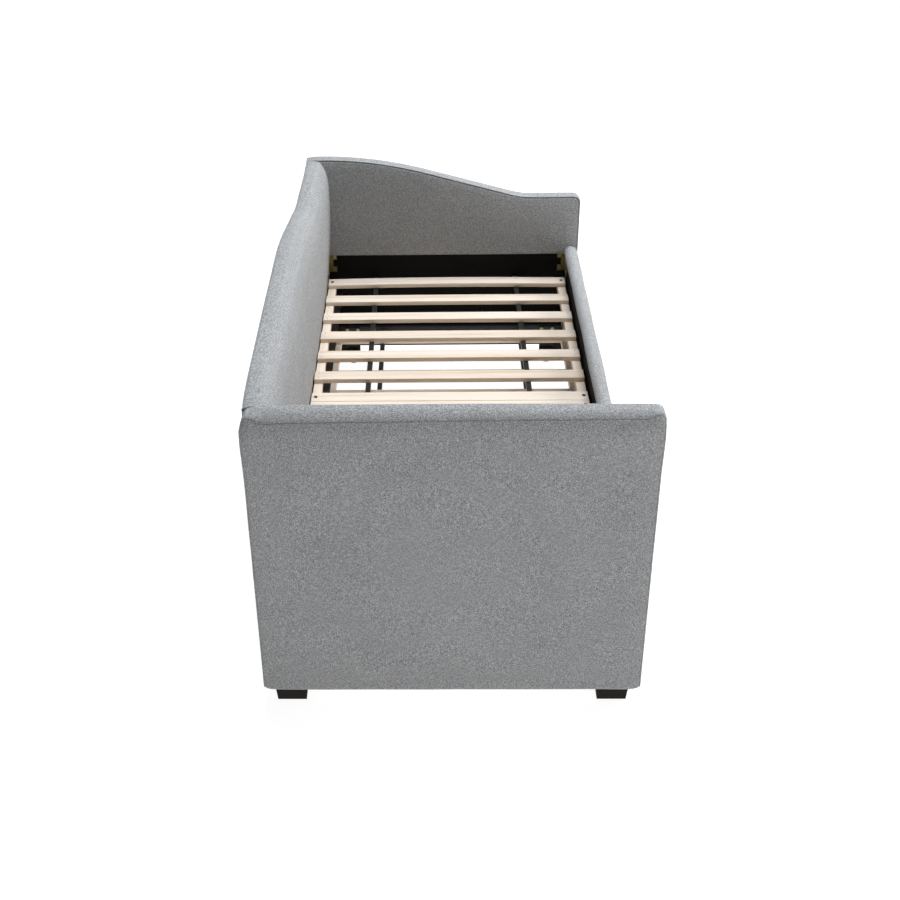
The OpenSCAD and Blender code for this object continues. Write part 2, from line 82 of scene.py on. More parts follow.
def ring_faces(rings, count):
    """Quads between rings of count points each, with an n-gon on each end."""
    faces = []
    for r in range(rings - 1):
        for i in range(count):
            j = (i + 1) % count
            faces.append((r * count + i, r * count + j, (r + 1) * count + j, (r + 1) * count + i))
    faces.append(tuple(range(count))[::-1])
    faces.append(tuple((rings - 1) * count + i for i in range(count)))
    return faces


def graded(low, high, fine, step, breaks=()):
    """Positions from low to high: fine distances from both ends, even steps between, and
    tight pairs of lines at the breaks."""
    edge = [d for d in fine if d < (high - low) / 2]
    inner_low, inner_high = low + edge[-1], high - edge[-1]
    count = max(2, int(round((inner_high - inner_low) / step)))
    middle = np.linspace(inner_low, inner_high, count + 1)
    keep = [m for m in middle if all(abs(m - b) > BREAK_CLEAR * step for b in breaks)]
    tight = [b + way * row for b in breaks for row in BREAK_ROWS for way in (-1, 1)]
    values = [low + d for d in edge] + keep + tight + [high - d for d in edge]
    return np.unique(np.round(values, 6))


def bumps(points, seed, waves, length, height):
    """Smooth random height at each point: a sum of waves of about the given wavelength."""
    rng = np.random.default_rng(seed)
    total = np.zeros(len(points))
    for _ in range(waves):
        direction = rng.normal(size=3)
        direction /= np.linalg.norm(direction)
        k = 2 * math.pi / (length * rng.uniform(0.7, 1.5))
        total += np.sin(points @ direction * k + rng.uniform(0, 2 * math.pi))
    return height * total / math.sqrt(waves)


def ease_in(t):
    """Smooth step from 0 to 1 as t goes from 0 to 1."""
    t = np.clip(t, 0, 1)
    return t * t * (3 - 2 * t)


def quarter_round(t, limit=0.999):
    """Depth of a quarter circle: 0 at t = 0, nearly 1 at t = 1; the limit keeps its end off
    the vertical."""
    return 1 - np.sqrt(1 - np.clip(t, 0, 1) ** 2 * limit)


def end_inset(x, low, high, reach):
    """0 along a padded rail, rising to 1 at its very ends."""
    return quarter_round(1 - np.minimum(x - low, high - x) / reach)


def spline(knots, count):
    """Points evenly spread along a Catmull-Rom curve through the knots."""
    knots = np.asarray(knots, float)
    padded = np.vstack([2 * knots[0] - knots[1], knots, 2 * knots[-1] - knots[-2]])
    dense = []
    for i in range(len(knots) - 1):
        p0, p1, p2, p3 = padded[i : i + 4]
        slope = p2 - p0
        square = 2 * p0 - 5 * p1 + 4 * p2 - p3
        cube = 3 * p1 - p0 - 3 * p2 + p3
        for t in np.linspace(0, 1, SPLINE_STEPS, endpoint=False):
            dense.append(0.5 * (2 * p1 + slope * t + square * t**2 + cube * t**3))
    dense.append(knots[-1])
    return resample(np.array(dense), count)


def resample(line, count):
    """The same line with evenly spaced points."""
    steps = np.linalg.norm(np.diff(line, axis=0), axis=1)
    along = np.concatenate([[0], np.cumsum(steps)])
    at = np.linspace(0, along[-1], count)
    return np.stack([np.interp(at, along, line[:, k]) for k in range(line.shape[1])], axis=1)


def smooth_profile(node, along, across, plane, sigma):
    """The top of a CAD panel as a function of its long coordinate, its kinks softened."""
    points = np.array([v.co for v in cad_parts[node].data.vertices])
    face = points[np.abs(points[:, across] - plane) < MM]
    face = face[face[:, 2] > face[:, 2].max() - PROFILE_DEPTH]
    at = np.linspace(face[:, along].min(), face[:, along].max(), PROFILE_POINTS)
    bins = np.round(face[:, along] / MM).astype(int)
    keys = np.unique(bins)
    top = np.array([face[bins == k][:, 2].max() for k in keys])
    height = np.interp(at, keys * MM, top)
    step = at[1] - at[0]
    reach = int(3 * sigma / step)
    kernel = np.exp(-0.5 * (np.arange(-reach, reach + 1) * step / sigma) ** 2)
    padded = np.pad(height, reach, mode="edge")
    soft = np.convolve(padded, kernel / kernel.sum(), mode="valid")
    return lambda u: np.interp(u, at, soft)


def distance_to(line, points):
    """Distance of each 2-D point to the nearest point of a dense line."""
    best = np.full(len(points), np.inf)
    for start in range(0, len(line), DISTANCE_BATCH):
        part = line[start : start + DISTANCE_BATCH]
        gap = points[:, None, :] - part[None, :, :]
        best = np.minimum(best, np.sqrt((gap**2).sum(axis=2)).min(axis=1))
    return best


# ---------------------------------------------------------------------------
# Cloth simulation of a padded face
# ---------------------------------------------------------------------------

CLOTH_STEP = 22 * MM
CLOTH_FRAMES = 20
PRESSURE = 1.0
FACE_SWELL = 4 * MM
BACK_SWELL = 3 * MM
RAIL_SWELL = 2 * MM


def sparse(line, step):
    """Indices along a line of points, about one step apart, always with both ends."""
    along = np.concatenate([[0], np.cumsum(np.linalg.norm(np.diff(line, axis=0), axis=1))])
    count = max(3, int(along[-1] / step) + 1)
    wanted = np.linspace(0, along[-1], count)
    return np.unique([int(np.abs(along - w).argmin()) for w in wanted])


def sheet_mesh(coarse):
    """A mesh object from a grid of points."""
    n_a, n_b = coarse.shape[:2]
    faces = [
        (a * n_b + b, (a + 1) * n_b + b, (a + 1) * n_b + b + 1, a * n_b + b + 1)
        for a in range(n_a - 1)
        for b in range(n_b - 1)
    ]
    mesh = bpy.data.meshes.new("sheet")
    mesh.from_pydata([tuple(p) for p in coarse.reshape(-1, 3)], [], faces)
    mesh.update()
    sheet = bpy.data.objects.new("sheet", mesh)
    bpy.context.scene.collection.objects.link(sheet)
    return sheet


def blown(coarse, held, pressure):
    """Where a grid of points comes to rest as cloth under pressure, held at its pinned points."""
    sheet = sheet_mesh(coarse)
    group = sheet.vertex_groups.new(name="seams")
    group.add([int(i) for i in np.flatnonzero(held.ravel())], 1.0, "REPLACE")
    cloth = sheet.modifiers.new("cloth", "CLOTH")
    settings = cloth.settings
    settings.quality = 6
    settings.mass = 0.3
    settings.tension_stiffness = settings.compression_stiffness = 25
    settings.shear_stiffness = 8
    settings.bending_stiffness = 1.5
    settings.vertex_group_mass = "seams"
    settings.use_pressure = True
    settings.uniform_pressure_force = pressure
    settings.effector_weights.gravity = 0
    cloth.collision_settings.use_collision = False
    for step_number in range(1, CLOTH_FRAMES + 1):
        bpy.context.scene.frame_set(step_number)
    graph = bpy.context.evaluated_depsgraph_get()
    posed = sheet.evaluated_get(graph).data
    after = np.array([v.co for v in posed.vertices]).reshape(coarse.shape)
    bpy.context.scene.frame_set(1)
    mesh = sheet.data
    bpy.data.objects.remove(sheet)
    bpy.data.meshes.remove(mesh)
    return after


def swell(grid, pinned, pressure, largest):
    """How far each grid point of a padded face moves: its sheet is held along the pinned seams
    and pushed out from within, and the movement is scaled so that its largest is as given."""
    rows = sparse(grid[:, grid.shape[1] // 2], CLOTH_STEP)
    columns = sparse(grid[grid.shape[0] // 2], CLOTH_STEP)
    coarse = grid[np.ix_(rows, columns)]
    held = pinned[np.ix_(rows, columns)].copy()
    held[0, :] = held[-1, :] = held[:, 0] = held[:, -1] = True
    moved = blown(coarse, held, pressure) - coarse
    moved = moved * largest / max(np.linalg.norm(moved, axis=2).max(), TINY)
    full = np.arange(grid.shape[1])
    wide = np.array([[np.interp(full, columns, line) for line in part.T] for part in moved])
    tall = np.arange(grid.shape[0])
    result = np.empty_like(grid)
    for axis in range(3):
        for b in range(grid.shape[1]):
            result[:, b, axis] = np.interp(tall, rows, wide[:, axis, b])
    return result


# ---------------------------------------------------------------------------
# Materials
# ---------------------------------------------------------------------------


THREAD_PITCH = 1.6 * MM


class Shader:
    """A Principled material under construction, textured by position in the row frame."""

    def __init__(self, name):
        self.material = bpy.data.materials.new(name)
        self.material.use_nodes = True
        self.tree = self.material.node_tree
        self.bsdf = self.tree.nodes["Principled BSDF"]
        self.position = self.node("ShaderNodeTexCoord").outputs["Object"]

    def node(self, kind, values=None, **settings):
        new = self.tree.nodes.new(kind)
        for key, value in settings.items():
            setattr(new, key, value)
        for key, value in (values or {}).items():
            self.put(new.inputs[key], value)
        return new

    def put(self, socket, value):
        if isinstance(value, bpy.types.NodeSocket):
            self.tree.links.new(value, socket)
        else:
            socket.default_value = value

    def stretched(self, scale):
        return self.node("ShaderNodeMapping", {"Vector": self.position, "Scale": scale}).outputs[0]

    def noise(self, scale, size=1.0, detail=2.0, rough=0.5):
        values = {"Vector": self.stretched(scale), "Scale": size, "Detail": detail, "Roughness": rough}
        return self.node("ShaderNodeTexNoise", values).outputs["Fac"]

    def ramp(self, fac, stops):
        """A colour ramp; each stop is (position, grey or rgb)."""
        new = self.node("ShaderNodeValToRGB", {"Fac": fac})
        ramp = new.color_ramp
        while len(ramp.elements) < len(stops):
            ramp.elements.new(0.5)
        for element, (place, colour) in zip(ramp.elements, stops):
            element.position = place
            rgb = (colour,) * 3 if isinstance(colour, (int, float)) else colour
            element.color = (*rgb, 1.0)
        return new.outputs["Color"]

    def mix(self, fac, a, b, blend="MIX"):
        new = self.node("ShaderNodeMix", data_type="RGBA", blend_type=blend)
        self.put(new.inputs[0], fac)
        self.put(new.inputs[6], a)
        self.put(new.inputs[7], b)
        return new.outputs[2]

    def math(self, operation, *values):
        new = self.node("ShaderNodeMath", operation=operation)
        for socket, value in zip(new.inputs, values):
            self.put(socket, value)
        return new.outputs[0]

    def bump(self, height, distance, strength=1.0, under=None):
        values = {"Height": height, "Distance": distance, "Strength": strength}
        if under is not None:
            values["Normal"] = under
        return self.node("ShaderNodeBump", values).outputs[0]

    def surface(self, **values):
        for key, value in values.items():
            self.put(self.bsdf.inputs[key.replace("_", " ")], value)
        return self.material


def upholstery():
    """Melange grey weave: light and dark yarns mixed at random, over a fine regular thread."""
    s = Shader("melange_fabric")
    speckle = s.noise((1, 1, 1), size=620, detail=2.5, rough=0.75)
    slub_up = s.noise((640, 640, 120), detail=2, rough=0.6)
    slub_across = s.noise((150, 150, 640), detail=2, rough=0.6)
    tone = s.math("MULTIPLY_ADD", speckle, 0.60, s.math("MULTIPLY", slub_up, 0.20))
    tone = s.math("MULTIPLY_ADD", slub_across, 0.20, tone)
    yarn = s.ramp(
        tone,
        [(0.36, (0.060, 0.061, 0.063)), (0.46, (0.205, 0.207, 0.211)),
         (0.54, (0.400, 0.403, 0.408)), (0.64, (0.780, 0.784, 0.790))],
    )
    cloudy = s.ramp(s.noise((1, 1, 1), size=5, detail=3), [(0.3, 0.96), (0.7, 1.03)])
    colour = s.mix(1.0, yarn, cloudy, "MULTIPLY")
    split = s.node("ShaderNodeSeparateXYZ", {"Vector": s.position})
    thread = 2 * math.pi / THREAD_PITCH
    weave = None
    for axis in "XYZ":
        wave = s.math("SINE", s.math("MULTIPLY", split.outputs[axis], thread))
        weave = wave if weave is None else s.math("ADD", weave, wave)
    weave_bump = s.bump(weave, 0.18 * MM, 0.6)
    fuzz = s.bump(speckle, 0.7 * MM, 0.6, weave_bump)
    return s.surface(
        Base_Color=colour, Roughness=0.94, Normal=fuzz, Sheen_Weight=0.12, Sheen_Roughness=0.5,
        Specular_IOR_Level=0.15,
    )


def lining():
    """Thin black non-woven cloth with its fine fibre texture."""
    s = Shader("black_lining")
    fibre = s.noise((1, 1, 1), size=900, detail=4, rough=0.7)
    colour = s.ramp(fibre, [(0.3, 0.0035), (0.75, 0.011)])
    return s.surface(Base_Color=colour, Roughness=0.85, Normal=s.bump(fibre, 0.4 * MM, 0.6),
                     Specular_IOR_Level=0.15)


def pine(name, along):
    """Planed pine with its grain along one axis of the row frame; the long side faces carry painted light: a
    lighter, warmer colour than the tops, standing in for the light that falls on them.
    """
    s = Shader(name)
    coarse, fine = [34.0] * 3, [420.0] * 3
    coarse[along], fine[along] = 1.1, 9.0
    rings = s.noise(tuple(coarse), detail=4, rough=0.55)
    pores = s.noise(tuple(fine), detail=2, rough=0.6)
    board = [3.1, 3.1, 0.2]
    board[along] = 0.02
    shade = s.noise(tuple(board), size=2.2, detail=0)
    planed = s.ramp(
        rings,
        [(0.40, (0.71, 0.625, 0.545)), (0.55, (0.67, 0.58, 0.49)), (0.70, (0.56, 0.44, 0.33))],
    )
    # painted light: the long side faces get this lighter, warmer colour in place of the light that falls on
    # them
    painted_lit_side = s.ramp(rings, [(0.35, (0.90, 0.77, 0.62)), (0.65, (0.74, 0.58, 0.42))])
    facing = s.node("ShaderNodeSeparateXYZ", {"Vector": s.node("ShaderNodeTexCoord").outputs["Normal"]})
    side = s.math("ABSOLUTE", facing.outputs["XY"[1 - along]])
    # the side faces, picked by their normal, take the painted-light colour
    wood = s.mix(s.ramp(side, [(0.45, 0.0), (0.8, 1.0)]), planed, painted_lit_side)
    wood = s.mix(0.28, wood, s.ramp(pores, [(0.3, 0.62), (0.6, 1.0)]), "MULTIPLY")
    plank = s.ramp(shade, [(0.35, (1.03, 1.03, 1.03)), (0.65, (0.95, 0.92, 0.89))])
    wood = s.mix(1.0, wood, plank, "MULTIPLY")
    knots = s.node("ShaderNodeTexVoronoi", {"Vector": s.stretched((9, 2.6, 9)), "Scale": 1.0})
    knot = s.ramp(knots.outputs["Distance"], [(0.03, (0.36, 0.22, 0.12)), (0.08, (1, 1, 1))])
    wood = s.mix(0.4, wood, knot, "MULTIPLY")
    return s.surface(Base_Color=wood, Roughness=s.ramp(pores, [(0.3, 0.72), (0.7, 0.58)]),
                     Normal=s.bump(pores, 0.3 * MM, 0.5, s.bump(rings, 0.6 * MM, 0.3)),
                     Specular_IOR_Level=0.3)


def plywood():
    """Plywood and softwood boards inside the panels."""
    s = Shader("plywood")
    face = s.noise((7, 7, 60), detail=4, rough=0.6)
    plies = s.noise((300, 300, 4), detail=1)
    wood = s.ramp(face, [(0.35, (0.60, 0.44, 0.27)), (0.65, (0.45, 0.30, 0.17))])
    wood = s.mix(0.4, wood, s.ramp(plies, [(0.4, 0.7), (0.6, 1.0)]), "MULTIPLY")
    return s.surface(Base_Color=wood, Roughness=0.75, Normal=s.bump(face, 0.5 * MM, 0.4))


def stained_wood():
    """Dark stained feet, the grain upright."""
    s = Shader("dark_stained_wood")
    grain = s.noise((90, 90, 5), detail=4, rough=0.6)
    wood = s.ramp(grain, [(0.3, (0.0060, 0.0042, 0.0034)), (0.7, (0.0120, 0.0080, 0.0058))])
    return s.surface(Base_Color=wood, Roughness=s.ramp(grain, [(0.3, 0.50), (0.7, 0.62)]),
                     Normal=s.bump(grain, 0.4 * MM, 0.4), Specular_IOR_Level=0.12)


def black_paint(name, roughness, wood=False):
    """Black powder coat on steel, or black paint through which a board's grain shows."""
    s = Shader(name)
    scale = (3, 120, 120) if wood else (1, 1, 1)
    skin = s.noise(scale, size=1 if wood else 1400, detail=3, rough=0.6)
    wear = s.noise((1, 1, 1), size=38, detail=5, rough=0.65)
    colour = s.ramp(wear, [(0.30, 0.005), (0.62, 0.009), (0.80, 0.017)])
    rough = s.ramp(wear, [(0.3, roughness - 0.06), (0.7, roughness + 0.08)])
    return s.surface(Base_Color=colour, Roughness=rough, Normal=s.bump(skin, 0.2 * MM, 0.4))


def plated(name, light, dark, warm, roughness):
    """Zinc plate with its uneven yellow passivation."""
    s = Shader(name)
    cloud = s.noise((1, 1, 1), size=60, detail=4, rough=0.6)
    scratches = s.noise((900, 900, 40), detail=2)
    colour = s.ramp(cloud, [(0.32, dark), (0.5, light), (0.66, warm)])
    rough = s.ramp(scratches, [(0.3, roughness), (0.7, roughness + 0.18)])
    return s.surface(Base_Color=colour, Metallic=0.9, Roughness=rough,
                     Normal=s.bump(scratches, 0.1 * MM, 0.4))


def black_plastic():
    """Moulded nylon wheel, scuffed on the tread."""
    s = Shader("black_nylon")
    scuff = s.noise((1, 1, 1), size=130, detail=5, rough=0.7)
    return s.surface(Base_Color=s.ramp(scuff, [(0.35, 0.012), (0.75, 0.045)]),
                     Roughness=s.ramp(scuff, [(0.3, 0.35), (0.7, 0.6)]),
                     Normal=s.bump(scuff, 0.3 * MM, 0.3))


FABRIC = upholstery()
LINING = lining()
PINE_ACROSS = pine("pine_slats", 1)
PINE_ALONG = pine("pine_rails", 0)
PLYWOOD = plywood()
LEG_WOOD = stained_wood()
STEEL = black_paint("black_powder_coat", 0.42)
SCREW_BLACK = black_paint("black_oxide", 0.35)
BLACK_WOOD = black_paint("black_painted_wood", 0.55, wood=True)
ZINC = plated("yellow_zinc", (0.26, 0.235, 0.08), (0.14, 0.14, 0.05), (0.30, 0.16, 0.10), 0.36)
ZINC_BOLT = plated("zinc_bolts", (0.40, 0.35, 0.20), (0.26, 0.23, 0.12), (0.38, 0.25, 0.16), 0.30)
NYLON = black_plastic()

# ---------------------------------------------------------------------------
# Upholstered end panels
# ---------------------------------------------------------------------------

# mesh lines along a seamed edge, by distance from it: closest where the seams run
SEAM_ROWS = MM * np.concatenate([
    [0, 0.5, 1, 1.7], np.arange(2.5, 6.6, 0.8), [7.5, 8.7, 10, 11.3, 12.5, 13.5, 14.4],
    np.arange(15.2, 25.7, 0.8), [26.5, 28, 30, 33, 37, 43, 52],
])
BOTTOM_ROWS = MM * np.array([0, 1.5, 4, 8, 13, 20, 32])
PAD_ROWS = MM * np.array([-0.4, 0.4, 2, 5, 9, 14, 22])
EDGE_SAMPLES = 900
SIDE_SAMPLES = 300
BOX_STRIPS = (0.06, 0.2, 0.4, 0.6, 0.8, 0.94)

SIDE_SEAM = 5.0 * MM
SEAM_TURN = (8 * MM, 50 * MM)
OUTER_GROOVE = (2.4 * MM, 1.1 * MM)
INNER_SEAM = 4.5 * MM
INNER_RADIUS = 2.5 * MM
INNER_GROOVE = (5.0 * MM, 1.6 * MM)
FACE_CROWN = 4.5 * MM
CROWN_REACH = 34 * MM
BOX_CROWN = 0.8 * MM
TOP_ROLL = (10 * MM, 70 * MM)
SIDE_ROLL = (6 * MM, 30 * MM)
UNDER_ROLL = (7 * MM, 10 * MM)
LIP = (5 * MM, 8 * MM)
CALM_EDGE = 60 * MM

HEAD_SAG = 3.6 * MM
FRONT_SAG = 3.4 * MM
CORNER_SAG = (8 * MM, 120 * MM)
CORNER_PULL = 11 * MM
PULL_HEIGHT = 48 * MM
PULL_LENGTH = 150 * MM
SIDE_BULGE = 2.8 * MM
BULGE_Z = 0.91
BULGE_SPREAD = 0.07


def edge_profile(d, seam, radius, groove):
    """Depth of a padded face below its plane at distance d from the panel's edge: the rounded
    edge, the stitched groove and then the swelling pad."""
    depth, width = groove
    dip = depth * np.exp(-(((d - seam) / width) ** 2))
    rise = FACE_CROWN * np.sin(0.5 * math.pi * np.clip((d - seam) / CROWN_REACH, 0, 1))
    return radius * quarter_round(1 - d / radius, 0.9999) + dip - rise


def soft_roll(d, roll):
    """How far a face leans back at distance d from an edge, for a roll of (depth, reach)."""
    return roll[0] * np.clip(1 - d / roll[1], 0, 1) ** 2.5


def settle_head(points, high):
    """The head panel's soft top: it sags a little, most at its ends, its back corner is drawn
    in, and its padded sides bulge below the top."""
    y, z = points[:, 1].copy(), points[:, 2].copy()
    upper = ease_in((z - 0.75) / 0.2)
    front = np.clip(-y / high.y, 0, 1) ** 1.7
    back = np.clip(1 - (high.y - y) / CORNER_SAG[1], 0, 1) ** 2
    points[:, 2] -= upper * (HEAD_SAG + FRONT_SAG * front + CORNER_SAG[0] * back)
    corner = ease_in((z - high.z + PULL_HEIGHT) / PULL_HEIGHT)
    points[:, 1] -= CORNER_PULL * corner * np.clip((y - high.y + PULL_LENGTH) / PULL_LENGTH, 0, 1)
    bulge = SIDE_BULGE * np.exp(-(((z - BULGE_Z) / BULGE_SPREAD) ** 2))
    points[:, 1] += np.sign(y) * bulge * (np.abs(y) / high.y) ** 6
    return points


def panel_top(cover, out_x, corner_r, back_r):
    """Height of an end panel's top edge as a function of y, its corners rounded."""
    low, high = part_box(cover)
    top_of = smooth_profile(cover, 1, 0, out_x, 16 * MM)

    def top(y):
        straight = top_of(np.clip(y, low.y + corner_r + 30 * MM, high.y - 14 * MM))
        front = corner_r * quarter_round((low.y + corner_r - y) / corner_r, 1)
        back = back_r * quarter_round((y - high.y + back_r) / back_r, 1)
        return straight - front - back

    return top


def panel_grid(cover, top, recess_y, pad_stop):
    """(y, z) of a grid over an end panel's face, finest along its seams and round the lining's
    recess, and the grid's shape."""
    low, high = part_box(cover)
    ys = graded(low.y, high.y, SEAM_ROWS, 18 * MM, recess_y)
    lower = np.linspace(low.z + 50 * MM, pad_stop - 15 * MM, 22)
    heights = np.concatenate([low.z + BOTTOM_ROWS, lower, pad_stop + PAD_ROWS])
    columns = []
    for y in ys:
        edge = float(top(y))
        upper = np.linspace(heights[-1], edge - SEAM_ROWS[-1], 18)[1:-1]
        columns.append(np.concatenate([heights, upper, edge - SEAM_ROWS[::-1]]))
    z = np.array(columns)
    y = np.repeat(ys[:, None], z.shape[1], axis=1)
    return np.stack([y.ravel(), z.ravel()], axis=1), z.shape


def panel_outline(cover, top):
    """The sides and the top of an end panel as a dense line of (y, z) points."""
    low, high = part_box(cover)
    edge_y = np.linspace(low.y, high.y, EDGE_SAMPLES)
    edge = np.stack([edge_y, top(edge_y)], axis=1)
    front, back = (
        np.stack([np.full(SIDE_SAMPLES, y), np.linspace(low.z, float(top(y)), SIDE_SAMPLES)], axis=1)
        for y in (low.y, high.y)
    )
    return np.vstack([front, edge, back[::-1]])


def box_strips(ring, far, centre, seed):
    """Lines of points across the flat boxed edge, from the outer face's rim to the inner's."""
    tangent = np.roll(ring, -1, axis=0) - np.roll(ring, 1, axis=0)
    normal = np.column_stack([np.zeros(len(ring)), tangent[:, 2], -tangent[:, 1]])
    normal /= np.linalg.norm(normal, axis=1)[:, None]
    facing = ((ring[:, 1:] - centre) * normal[:, 1:]).sum(axis=1)
    normal *= np.sign(facing)[:, None]
    lines = []
    for t in BOX_STRIPS:
        line = ring * (1 - t) + far * t + normal * BOX_CROWN * math.sin(math.pi * t) ** 0.6
        lines.append(line + normal * bumps(line, seed, 8, 0.12, 0.25 * MM)[:, None])
    return lines


def panel_faces(shape, s):
    """Quads of both faces of an end panel and of the boxed edge between them, and the rim."""
    n_y, n_z = shape
    base = n_y * n_z
    index = np.arange(base).reshape(shape)
    faces = []
    for a in range(n_y - 1):
        for b in range(n_z - 1):
            quad = (index[a, b], index[a + 1, b], index[a + 1, b + 1], index[a, b + 1])
            back = tuple(base + q for q in quad)
            faces += [quad, back[::-1]] if s > 0 else [quad[::-1], back]
    rim = np.concatenate([index[:-1, 0], index[-1, :-1], index[:0:-1, -1], index[0, :0:-1]])
    between = [2 * base + k * len(rim) + np.arange(len(rim)) for k in range(len(BOX_STRIPS))]
    strips = [rim, *between, rim + base]
    for a, b in zip(strips[:-1], strips[1:]):
        for i in range(len(rim)):
            j = (i + 1) % len(rim)
            quad = (a[i], b[i], b[j], a[j])
            faces.append(quad if s > 0 else quad[::-1])
    return faces, rim


def end_panel(name, cover, s, corner_r, back_r, seed, outer_seam, roll):
    """A padded end panel whose outside faces s along X: flat boxed edge, seams all round,
    swelling faces, a recess for the lining. The outer seam lies outer_seam[0] below the edge at
    the front and outer_seam[1] at the back, and the top rolls over roll times that deep."""
    low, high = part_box(cover)
    out_x, in_x = (high.x, low.x) if s > 0 else (low.x, high.x)
    lining_low, lining_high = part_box(name.replace("_panel", "_lining"))
    lining_x = lining_high.x if s > 0 else lining_low.x
    pad_stop = lining_high.z
    recess_y = (lining_low.y, lining_high.y)
    top = panel_top(cover, out_x, corner_r, back_r)
    flat, shape = panel_grid(cover, top, recess_y, pad_stop)
    y, z = flat.T
    d = distance_to(panel_outline(cover, top), flat)
    side_gap = np.minimum(y - low.y, high.y - y)
    turn_under = UNDER_ROLL[0] * quarter_round(1 - (z - low.z) / UNDER_ROLL[1])
    calm = np.clip(d / CALM_EDGE, 0, 1)

    def waves(x_face):
        at = np.column_stack([np.full(len(flat), x_face), flat])
        large = bumps(at, seed, 10, 0.34, 0.8 * MM)
        return calm * (large + bumps(at, seed + 1, 12, 0.055, 0.15 * MM))

    def swollen(x_face, way, offset, held, free):
        points = np.column_stack([x_face - way * offset, flat])
        grid = points.reshape(*shape, 3)
        moved = swell(grid, held.reshape(shape), way * PRESSURE, FACE_SWELL)
        moved[:, :, 1:] = 0
        return points + moved.reshape(-1, 3) * free[:, None]

    def outer_face():
        share = (y - low.y) / (high.y - low.y)
        top_seam = outer_seam[0] + (outer_seam[1] - outer_seam[0]) * share
        inward = ease_in((side_gap - SEAM_TURN[0]) / SEAM_TURN[1])
        seam = SIDE_SEAM + (top_seam - SIDE_SEAM) * inward
        radius = SIDE_SEAM + (roll * top_seam - SIDE_SEAM) * inward
        offset = edge_profile(d, seam, radius, OUTER_GROOVE) + turn_under - waves(out_x)
        offset += soft_roll(top(y) - z, TOP_ROLL) + soft_roll(side_gap, SIDE_ROLL)
        free = np.clip((d - seam - 3 * MM) / (12 * MM), 0, 1)
        return swollen(out_x, s, offset, d < seam + 5 * MM, free)

    def inner_face():
        over = (y > recess_y[0]) & (y < recess_y[1])
        inside = over & (z < pad_stop)
        lip = LIP[0] * quarter_round(1 - (z - pad_stop) / LIP[1])
        offset = edge_profile(d, INNER_SEAM, INNER_RADIUS, INNER_GROOVE) + turn_under - waves(in_x)
        offset += np.where(over & ~inside, lip, 0)
        offset = np.where(inside, abs(lining_x - in_x) - 0.5 * MM, offset)
        held = (d < INNER_SEAM + 5 * MM) | (z < pad_stop + 12 * MM)
        free = np.clip((d - INNER_SEAM - 3 * MM) / (12 * MM), 0, 1)
        free *= np.clip((z - pad_stop - 6 * MM) / (20 * MM), 0, 1)
        return swollen(in_x, -s, offset, held, free)

    outer, inner = outer_face(), inner_face()
    faces, rim = panel_faces(shape, s)
    strips = box_strips(outer[rim], inner[rim], flat.mean(axis=0), seed + 2)
    points = np.vstack([outer, inner, *strips])
    if s < 0:
        points = settle_head(points, high)
    upholstered(name, points, faces, "daybed", cover)


# ---------------------------------------------------------------------------
# Upholstered back
# ---------------------------------------------------------------------------

# sections of the back in millimetres: how far in from the outer face, how far below the top
BACK_SEAM = ((2.8, 1.0), (3.9, 2.6), (4.9, 1.1))
BACK_SHOULDER = ((6, 0.4), (20, -0.4), (38, 0.8), (50, 5), (60, 18))
# how far in from the outer plane, how far below the top
BACK_CROWN = ((68, 34), (75, 55), (80, 80), (82.5, 112))
# how far in from the outer plane, how high above the floor
BACK_LOWER = ((79, 590), (75, 525), (68, 437), (64, 402))
BACK_BOW = 7.5 * MM
BACK_FINE = MM * np.array([0, 0.8, 2, 3.5, 5.5, 8, 12, 18, 26])
END_GAP = 4 * MM
NEAR_GAP = 1.5 * MM
OUTER_POINTS = 64
OVER_POINTS = 110


def back_section(top, y_face, y_out, low_z, pad_low, y_deck, core_y):
    """(y, z) round the back panel at one place along it."""

    def below_top(y_plane, steps):
        return [(y_plane - inward * MM, top - down * MM) for inward, down in steps]

    outer = [
        (y_face - 8 * MM, low_z - 2 * MM), (y_face - 1.5 * MM, low_z + 4 * MM), (y_face, low_z + 25 * MM),
        (y_face + MM, 0.4), *below_top(y_face, ((-1, 200), (0, 30), (0, 5), (0.4, 2.2), (1.8, 0.8))),
    ]
    over = below_top(y_face, BACK_SHOULDER) + below_top(y_out, BACK_CROWN)
    over.append((y_out - BACK_CROWN[-1][0] * MM, min(0.70, top - 0.15)))
    over += [(y_out - inward * MM, z * MM) for inward, z in BACK_LOWER]
    over += [(y_deck + inward * MM, pad_low + up * MM) for inward, up in ((0, 9), (2, 4), (7, 0.6))]
    inside = [(y_deck + 30 * MM, pad_low), (core_y - MM, pad_low), (core_y - MM, low_z)]
    seam = below_top(y_face, BACK_SEAM)
    return np.vstack([spline(outer, OUTER_POINTS), seam, spline(over, OVER_POINTS), inside])


def back_normals(rings):
    """Outward normals of the back's rings, in the plane of each ring."""
    tangent = np.roll(rings, -1, axis=1) - np.roll(rings, 1, axis=1)
    normal = np.stack([np.zeros(tangent.shape[:2]), tangent[:, :, 2], -tangent[:, :, 1]], axis=2)
    normal /= np.maximum(np.linalg.norm(normal, axis=2), TINY)[:, :, None]
    outward = ((rings - rings.mean(axis=1)[:, None, :]) * normal).sum(axis=2).mean()
    return normal * np.sign(outward)


